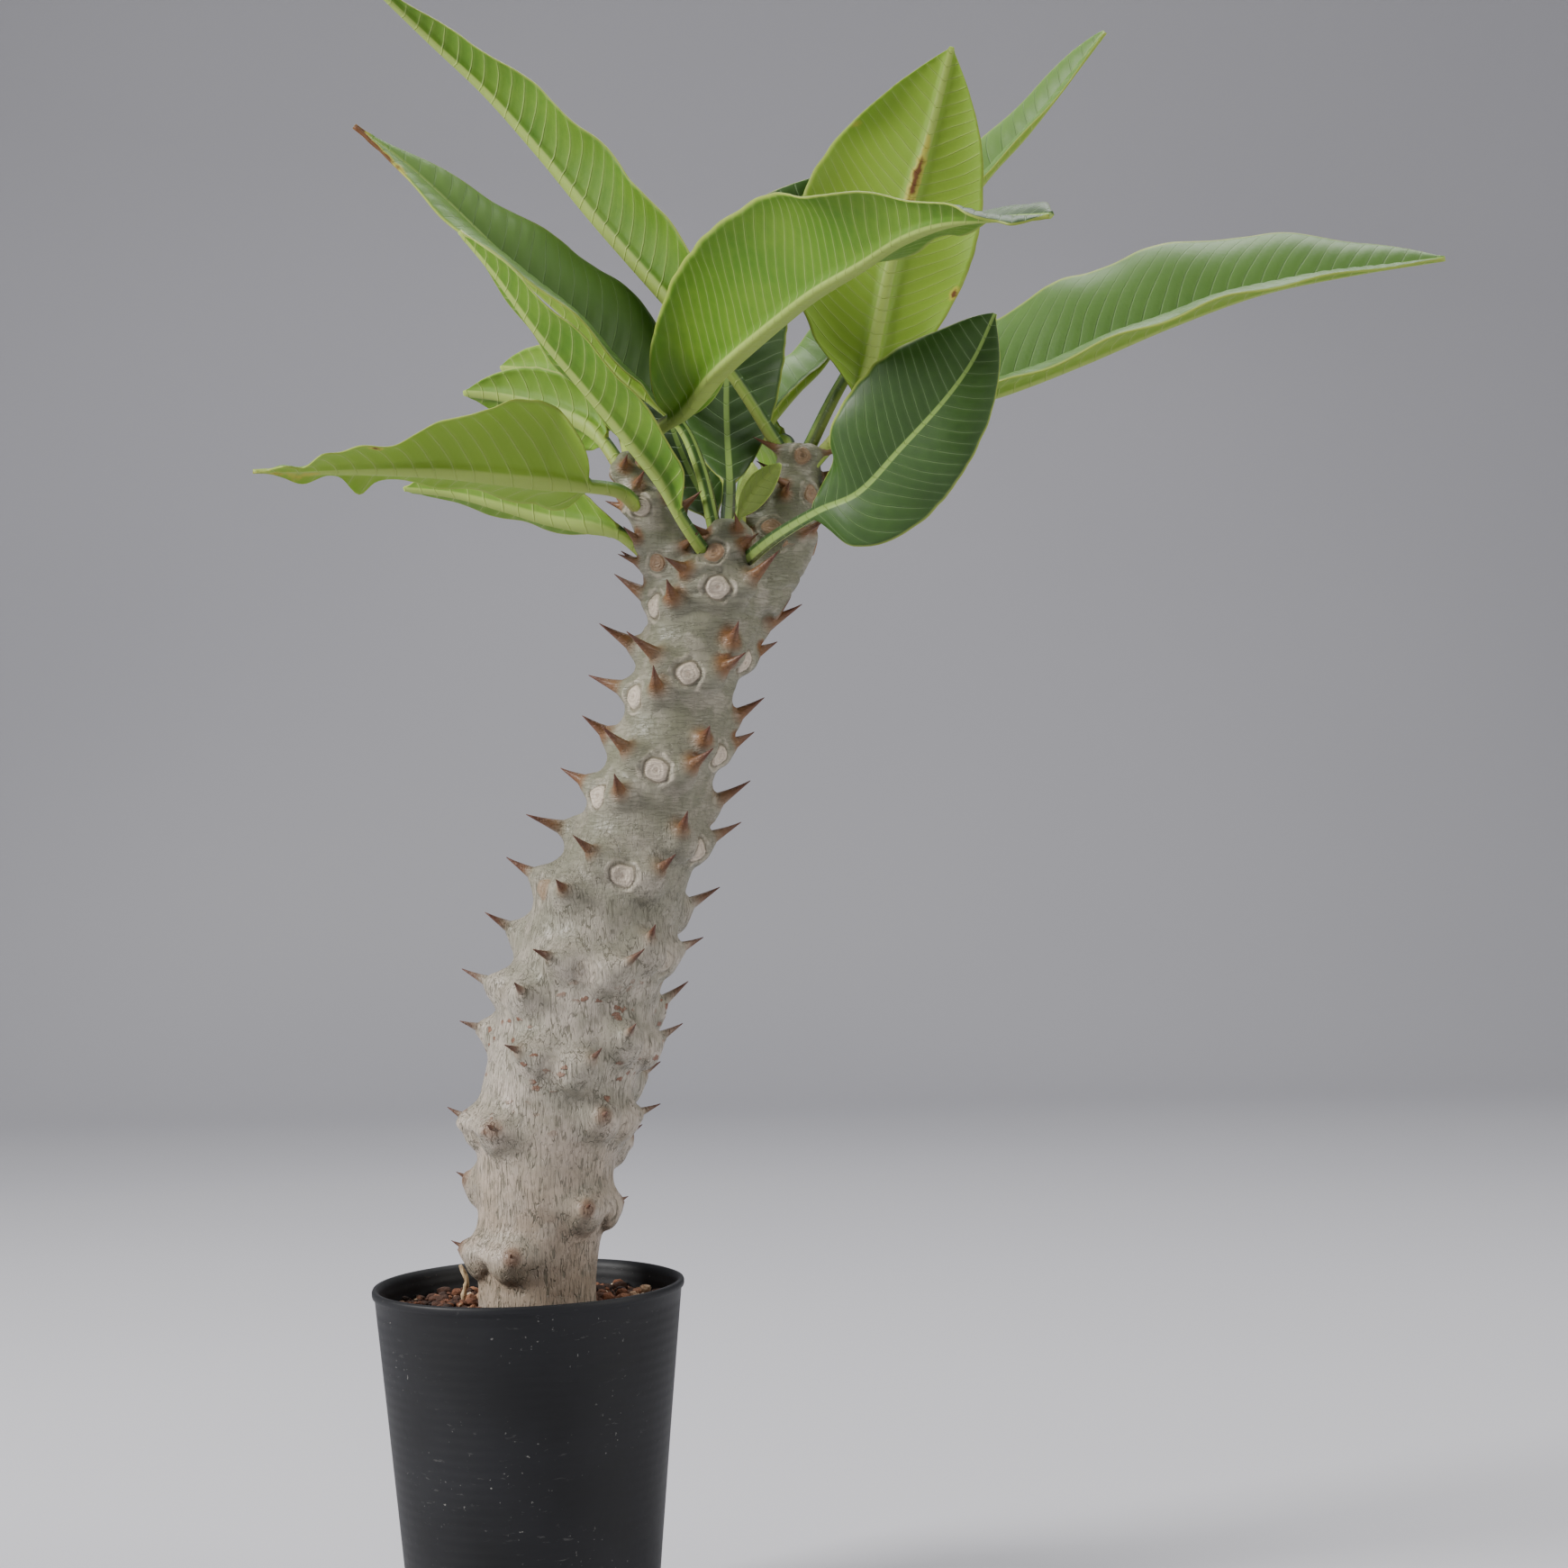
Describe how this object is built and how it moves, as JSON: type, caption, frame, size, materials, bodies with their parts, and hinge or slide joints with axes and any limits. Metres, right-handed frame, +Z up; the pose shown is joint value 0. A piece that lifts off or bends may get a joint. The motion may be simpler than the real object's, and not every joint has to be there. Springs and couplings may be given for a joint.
{
  "type": "potted pachypodium baronii",
  "caption": "Potted Pachypodium baronii: a spiny silver-grey stem forked into three short shoots, with large veined leaves, in a round black nursery pot.",
  "frame": {"origin": "centre of the pot's underside, on the surface that it stands on", "axes": "+Z up along the pot's axis, -Y to the side that the picture shows, +X to that side's right, where most of the crown leans"},
  "size_m": [0.2872, 0.2285, 0.4152],
  "materials": {
    "pot_plastic": "matte",
    "gritty_soil": "matte",
    "dry_wood": "matte",
    "bark": "matte",
    "leaf": "satin",
    "young_leaf": "satin"
  },
  "bodies": {
    "root": {"pot": "pot_plastic", "soil": "gritty_soil", "dry_root": "dry_wood", "stem": "bark", "leaf_long_left": "leaf", "leaf_dry_tip": "leaf", "leaf_left_keel": "leaf", "leaf_front": "leaf", "leaf_upright": "leaf", "leaf_front_right": "leaf", "leaf_far_right": "leaf", "leaf_tall_right": "leaf", "leaf_centre": "leaf", "leaf_low_left": "leaf", "leaf_low_left_under": "leaf", "leaf_left_short": "leaf", "leaf_left_behind": "leaf", "leaf_middle_behind": "leaf", "leaf_back_folded": "leaf", "leaf_back_right": "leaf", "leaf_back_left": "leaf", "leaf_young": "young_leaf", "leaf_bud": "young_leaf"}
  },
  "joints": []
}
